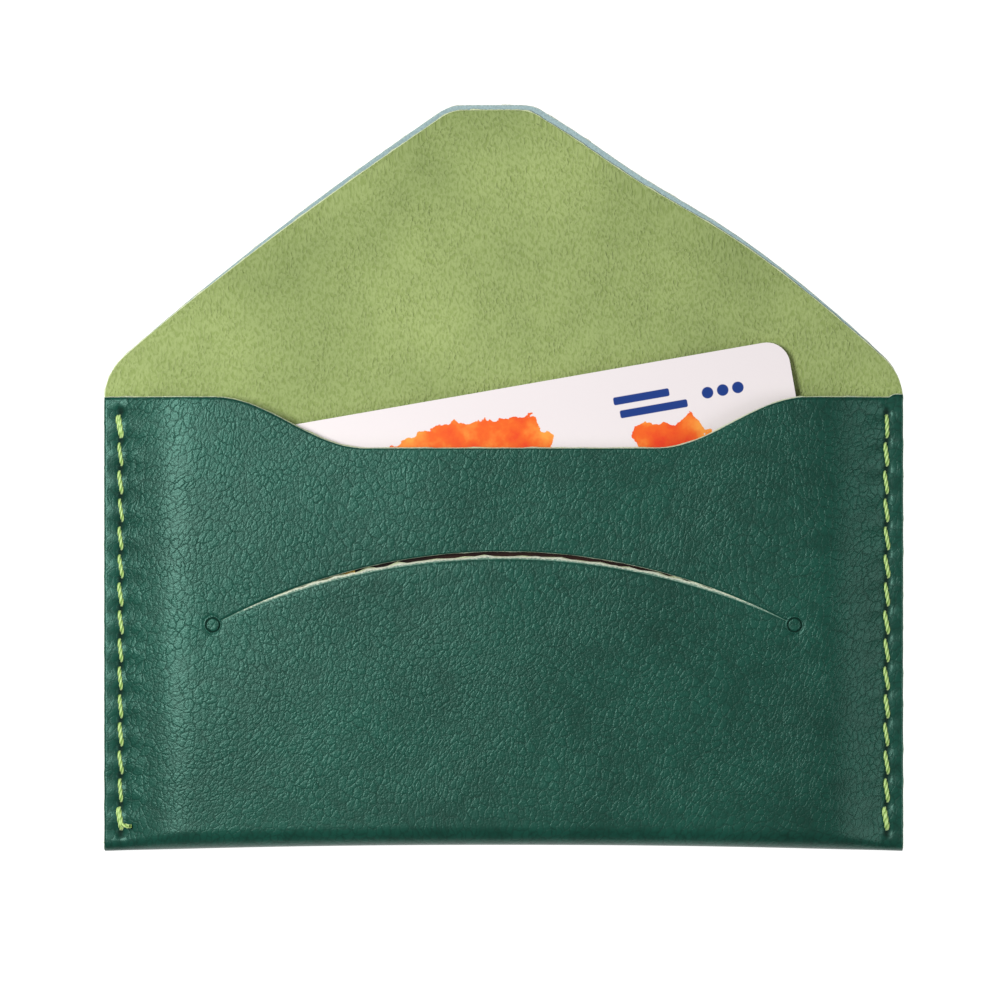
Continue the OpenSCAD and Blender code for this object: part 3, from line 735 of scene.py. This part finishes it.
def magnetic_coating():
    """Black-brown magnetic stripe coating with fine lengthwise rub marks."""
    material, tree, shader = new_material("magnetic_stripe_coating")
    place = card_place(tree)
    stretched = add(tree, "ShaderNodeMapping", {"Vector": place, "Scale": (0.12, 6.0, 1.0)})
    rub = add(tree, "ShaderNodeTexNoise", {"Vector": stretched.outputs[0], "Scale": 1.0, "Detail": 3.0})
    colour = ramp(tree, rub.outputs["Fac"], [(0.3, "#1E1917"), (0.75, "#332C28")])
    rough = ramp(tree, rub.outputs["Fac"], [(0.3, 0.3), (0.75, 0.45)])
    tree.links.new(colour, shader.inputs["Base Color"])
    tree.links.new(rough, shader.inputs["Roughness"])
    return material


def lit_acrylic():
    """Opal acrylic of a light table: matt, with a faint tooth, and lit from below, so that it looks white
    all over while it throws little light back up."""
    material, tree, shader = new_material("opal_acrylic_lit_from_below")
    place = add(tree, "ShaderNodeTexCoord")
    tooth = add(tree, "ShaderNodeTexNoise", {"Vector": place.outputs["Object"], "Scale": 900.0,
                                             "Detail": 2.0})
    colour = ramp(tree, tooth.outputs["Fac"], [(0.3, "#959595"), (0.7, "#9C9C9C")])
    tree.links.new(colour, shader.inputs["Base Color"])
    shader.inputs["Roughness"].default_value = 0.9
    shader.inputs["Emission Color"].default_value = (1, 1, 1, 1)
    shader.inputs["Emission Strength"].default_value = 0.96
    return material


# ---------------------------------------------------------------- pieces
def hide_piece(name, columns, rows, back_rows, grow, top, bottom, bulge, materials, detail, nodes):
    """One layer of the hide between the depths top and bottom below the leather's outer face. rows and
    back_rows are its rows per stitch, and detail shapes its outer face."""
    base, normals, places, zone, lip, quads = hide_surface(columns, rows, back_rows, grow)
    relief = detail(base, zone)[:, None]
    outer = base + normals * (relief - top)
    inner = base - normals * bottom
    rim = ragged(base) * bulge * (1 + 2 * lip) + CUT_SLANT * lip
    points, faces, source, depth, part = closed_sheet(outer, inner, quads, rim)
    across, along = seam_distance(base)
    # Painted shade mask along the seam, strongest at each stitch hole.
    hole_shade_mask = np.isin(zone, (0, 2)) * bell(across, 0.34) * (0.2 + 1.2 * bell(along, 0.5))
    hole_shade_mask *= (base[:, 1] < SEAM_TOP + 0.6) & (base[:, 1] > SEAM_BOTTOM - 0.6)
    margin = smoothstep((across + 0.7) / 0.8)
    fold = smoothstep((BOTTOM_Y + 9 - base[:, 1]) / 8) * np.isin(zone, (0, 1))
    grain = 1 - 0.55 * np.maximum(margin, fold)
    shades = {"depth": depth, "sewn": np.minimum(hole_shade_mask, 1)[source], "grain": grain[source]}
    piece = mesh_piece(name, points, faces, materials, part, places[source], shades)
    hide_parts(*nodes)
    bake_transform(piece)
    return piece


def stop_mark(side, leather):
    """A struck ring round a standing disc. At radius r its face stands 0.02 mm above the leather, less a
    groove of 0.24 exp(-((r - STOP_GROOVE_R) / 0.08)^2) mm, and less 0.1 mm in a skirt past 1.1 mm that goes
    under the leather around it."""
    disc, groove, skirt = np.linspace(0, 0.78, 5), np.linspace(0.82, 1.05, 10), np.linspace(1.12, 1.4, 4)
    r = np.concatenate([disc, groove, skirt])[1:, None]
    turn = np.linspace(0, 2 * np.pi, 48, endpoint=False)[None, :]
    middle = np.array([side * SLIT_W / 2, TOP_Y - SLIT_DROP])
    x = middle[0] + r * np.cos(turn)
    y = middle[1] + r * np.sin(turn)
    struck = 0.02 - 0.24 * bell(r - STOP_GROOVE_R, 0.08) - 0.1 * smoothstep((r - 1.1) / 0.3)
    z = front_height(x) + FRONT_WAVE * waves(x, y) + struck
    ring = np.stack([x, y, z], 2)
    rows, sides = ring.shape[:2]
    index = np.arange(rows * sides).reshape(rows, sides)
    after = np.roll(index, -1, axis=1)
    band = np.stack([index[:-1], index[1:], after[1:], after[:-1]], 2).reshape(-1, 4)
    below = np.array([0, 0, STOP_THICK])
    centre = np.array([[*middle, ring[0, :, 2].mean()]])
    points = np.concatenate([ring.reshape(-1, 3), ring.reshape(-1, 3) - below, centre, centre - below])
    size = rows * sides
    wall = np.stack([index[-1], index[-1] + size, after[-1] + size, after[-1]], 1)
    fan = np.stack([np.full(sides, 2 * size), index[0], after[0]], 1)
    fan_below = np.stack([np.full(sides, 2 * size + 1), after[0] + size, index[0] + size], 1)
    faces = np.concatenate([band, band[:, ::-1] + size, wall]).tolist()
    faces += np.concatenate([fan, fan_below]).tolist()
    places = np.stack([points[:, 0], TOP_Y - points[:, 1]], 1)
    away = np.hypot(points[:, 0] - middle[0], points[:, 1] - middle[1])
    # The mark's groove gets painted shade.
    shades = {"grain": np.ones(len(points)), "sewn": 0.7 * bell(away - STOP_GROOVE_R, 0.1)}
    name = "stop_mark_left" if side < 0 else "stop_mark_right"
    piece = mesh_piece(name, points, faces, [leather], places=places, shades=shades)
    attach(piece, "holder")
    return piece


def resampled(path, count):
    """The same path with count points at equal distances along it."""
    along = np.concatenate([[0], np.cumsum(np.linalg.norm(np.diff(path, axis=0), axis=1))])
    even = np.linspace(0, along[-1], count)
    return np.stack([np.interp(even, along, path[:, k]) for k in range(3)], 1), even


def stitch_path(x, y, surface, middle_z, slant):
    """A stitch between two holes, as the upper half of a superellipse of power 3.3 that leans by slant; it
    goes into each hole on the side that it comes from."""
    turn = np.linspace(np.pi, 0, 61)
    share = (1 - np.sign(np.cos(turn)) * np.abs(np.cos(turn)) ** 0.6) / 2
    reach = np.abs(np.sin(turn)) ** 0.6
    down = HOLE_SIDE + (PITCH - 2 * HOLE_SIDE) * share
    return np.stack([x + slant * (share - 0.5), y - down, middle_z + (surface - middle_z) * reach], 1)


def twisted_tube(path, rings, sides, radius, lay):
    """A three-ply thread swept along a path: radius (0.88 + 0.12 cos 3 (angle - 2 pi s / lay)), open at its
    two ends. Returns its points, its quads and how far each point stands out of the lines between plies."""
    path, along = resampled(path, rings)
    tangent = np.gradient(path, axis=0)
    tangent /= np.linalg.norm(tangent, axis=1, keepdims=True)
    side = np.array([1.0, 0, 0]) - tangent * tangent[:, :1]
    side /= np.linalg.norm(side, axis=1, keepdims=True)
    other = np.cross(tangent, side)
    angle = np.linspace(0, 2 * np.pi, sides, endpoint=False)[None, :]
    ply = np.cos(3 * (angle - 2 * np.pi * along[:, None] / lay))
    r = radius * (0.88 + 0.12 * ply)
    points = path[:, None] + r[..., None] * (np.cos(angle)[..., None] * side[:, None]
                                             + np.sin(angle)[..., None] * other[:, None])
    index = np.arange(rings * sides).reshape(rings, sides)
    after = np.roll(index, -1, axis=1)
    quads = np.stack([index[:-1], after[:-1], after[1:], index[1:]], 2).reshape(-1, 4)
    return points.reshape(-1, 3), quads, (ply.ravel() + 1) / 2


def seam_thread(side, material):
    """All stitches of one seam, front and back. The ends are sewn over twice, apart from the right seam's
    first stitch, which stands upright, and the left seam's last stitch has the cut end of the thread beside
    it."""
    rng = np.random.default_rng(7 if side < 0 else 8)
    front = MARGIN_Z - 0.02
    back = 0.36
    runs = [(level, i, 0.0) for level in (front, back) for i in range(STITCHES)]
    runs += [(front, STITCHES - 1, -0.22), (back, 0, -0.22), (back, STITCHES - 1, -0.22)]
    runs += [(front, 0, -0.30)] if side < 0 else []
    paths = []
    for level, i, beside in runs:
        lean = 0.1 if side > 0 and i == 0 else 0.5 + 0.08 * rng.standard_normal()
        shift = 0.04 * rng.standard_normal() + (0.12 if side > 0 and i == 0 else 0)
        surface = level + (0.03 if beside else 0)
        paths.append(stitch_path(side * SEAM_X + shift + beside, SEAM_TOP - i * PITCH, surface, WALL, lean))
    if side < 0:
        paths.append(CUT_END)
    points, quads, ply, offset = [], [], [], 0
    for path in paths:
        rings = 14 if path is CUT_END else 30
        radius = THREAD_D / 2 * (1.0 + 0.05 * rng.standard_normal())
        p, q, shade = twisted_tube(path, rings, 15, radius, PLY_LAY)
        points.append(p)
        quads.append(q + offset)
        ply.append(shade)
        offset += len(p)
    name = "left_thread" if side < 0 else "right_thread"
    piece = mesh_piece(name, np.concatenate(points), np.concatenate(quads), [material],
                       shades={"ply": np.concatenate(ply)})
    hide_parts("left_seam_thread" if side < 0 else "right_seam_thread")
    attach(piece, "holder")
    return piece


def assign(node, material):
    """Gives a part of the frame its material."""
    data = frame["nodes"][node].data
    data.materials.clear()
    data.materials.append(material)


# ---------------------------------------------------------------- the scene
def no_relief(points, zone):
    """None, for the lining, which the stitches don't shape."""
    return np.zeros(len(points))


def leather_relief(points, zone):
    """Everything that shapes only the leather's outer face."""
    return pulled_in(points, zone) + stop_pit(points, zone)


LEATHER = outer_leather()
LINING = lining_leather()
LEATHER_EDGE = cut_edge("leather_cut_edge", "#5A8070", "#DCE2CE")
FLESH = cut_edge("leather_flesh_side", "#93ABAE", "#93ABAE")
LINING_EDGE = cut_edge("lining_cut_edge", "#BCC998", "#CBD5AE")

hide_piece("outer_leather", hide_columns(True), 8, 4, {"scoop": 0, "left": 0, "right": 0, "tip": 0},
           0, LEATHER_T, 1.0, [LEATHER, FLESH, LEATHER_EDGE], leather_relief,
           ["front_leather", "bottom_fold_leather", "back_leather", "flap_leather"])
hide_piece("lining", hide_columns(False), 4, 3, {"scoop": 0.06, "left": -0.25, "right": -0.55, "tip": -0.7},
           LEATHER_T + 0.01, WALL - 0.03, 1.3, [LINING_EDGE, LINING, LINING_EDGE], no_relief,
           ["front_lining", "bottom_fold_lining", "back_lining", "flap_lining"])
for mark_side in (-1, 1):
    stop_mark(mark_side, LEATHER)
THREAD = waxed_thread()
for seam_side in (-1, 1):
    seam_thread(seam_side, THREAD)
assign("card_body", printed_card())
assign("card_chip", gold_contacts())
assign("card_stripe", magnetic_coating())


def floor():
    """A wide light table just under the holder."""
    corners = np.array([[-900, -900, -0.05], [900, -900, -0.05], [900, 900, -0.05], [-900, 900, -0.05]])
    piece = mesh_piece("floor", corners, np.array([[0, 1, 2, 3]]), [lit_acrylic()])


def soft_light(name, place, aim, size, power, colour):
    """A square soft box at place, in metres, turned to its aim."""
    data = bpy.data.lights.new(name, "AREA")
    data.size = size
    data.energy = power
    data.color = colour
    lamp = bpy.data.objects.new(name, data)
    lamp.location = place
    lamp.rotation_euler = (Vector(aim) - Vector(place)).to_track_quat("-Z", "Y").to_euler()
    bpy.context.scene.collection.objects.link(lamp)


def camera():
    """A long lens straight above, so that the holder lies square in the picture."""
    data = bpy.data.cameras.new("camera")
    height = 0.8
    view_w = 0.137
    middle_x, middle_y = -0.0005, 0.0170
    data.sensor_width = 36
    data.lens = data.sensor_width * height / view_w
    data.clip_start = 0.01
    shot = bpy.data.objects.new("camera", data)
    shot.location = (middle_x, middle_y, height)
    bpy.context.scene.collection.objects.link(shot)
    bpy.context.scene.camera = shot


def daylight():
    """An even pale surround."""
    world = bpy.data.worlds.new("studio")
    world.use_nodes = True
    background = world.node_tree.nodes["Background"]
    background.inputs["Color"].default_value = (1, 1, 1, 1)
    background.inputs["Strength"].default_value = 0.2
    bpy.context.scene.world = world


floor()
camera()
daylight()
FRONT_MIDDLE = (0, 0.01, 0)
soft_light("key", (-0.15, 0.055, 0.30), FRONT_MIDDLE, 0.12, 1.3, (1, 0.99, 0.98))
soft_light("fill", (0.42, -0.06, 0.28), FRONT_MIDDLE, 0.25, 0.8, (1, 1, 1))
bpy.context.scene.view_settings.view_transform = "Standard"
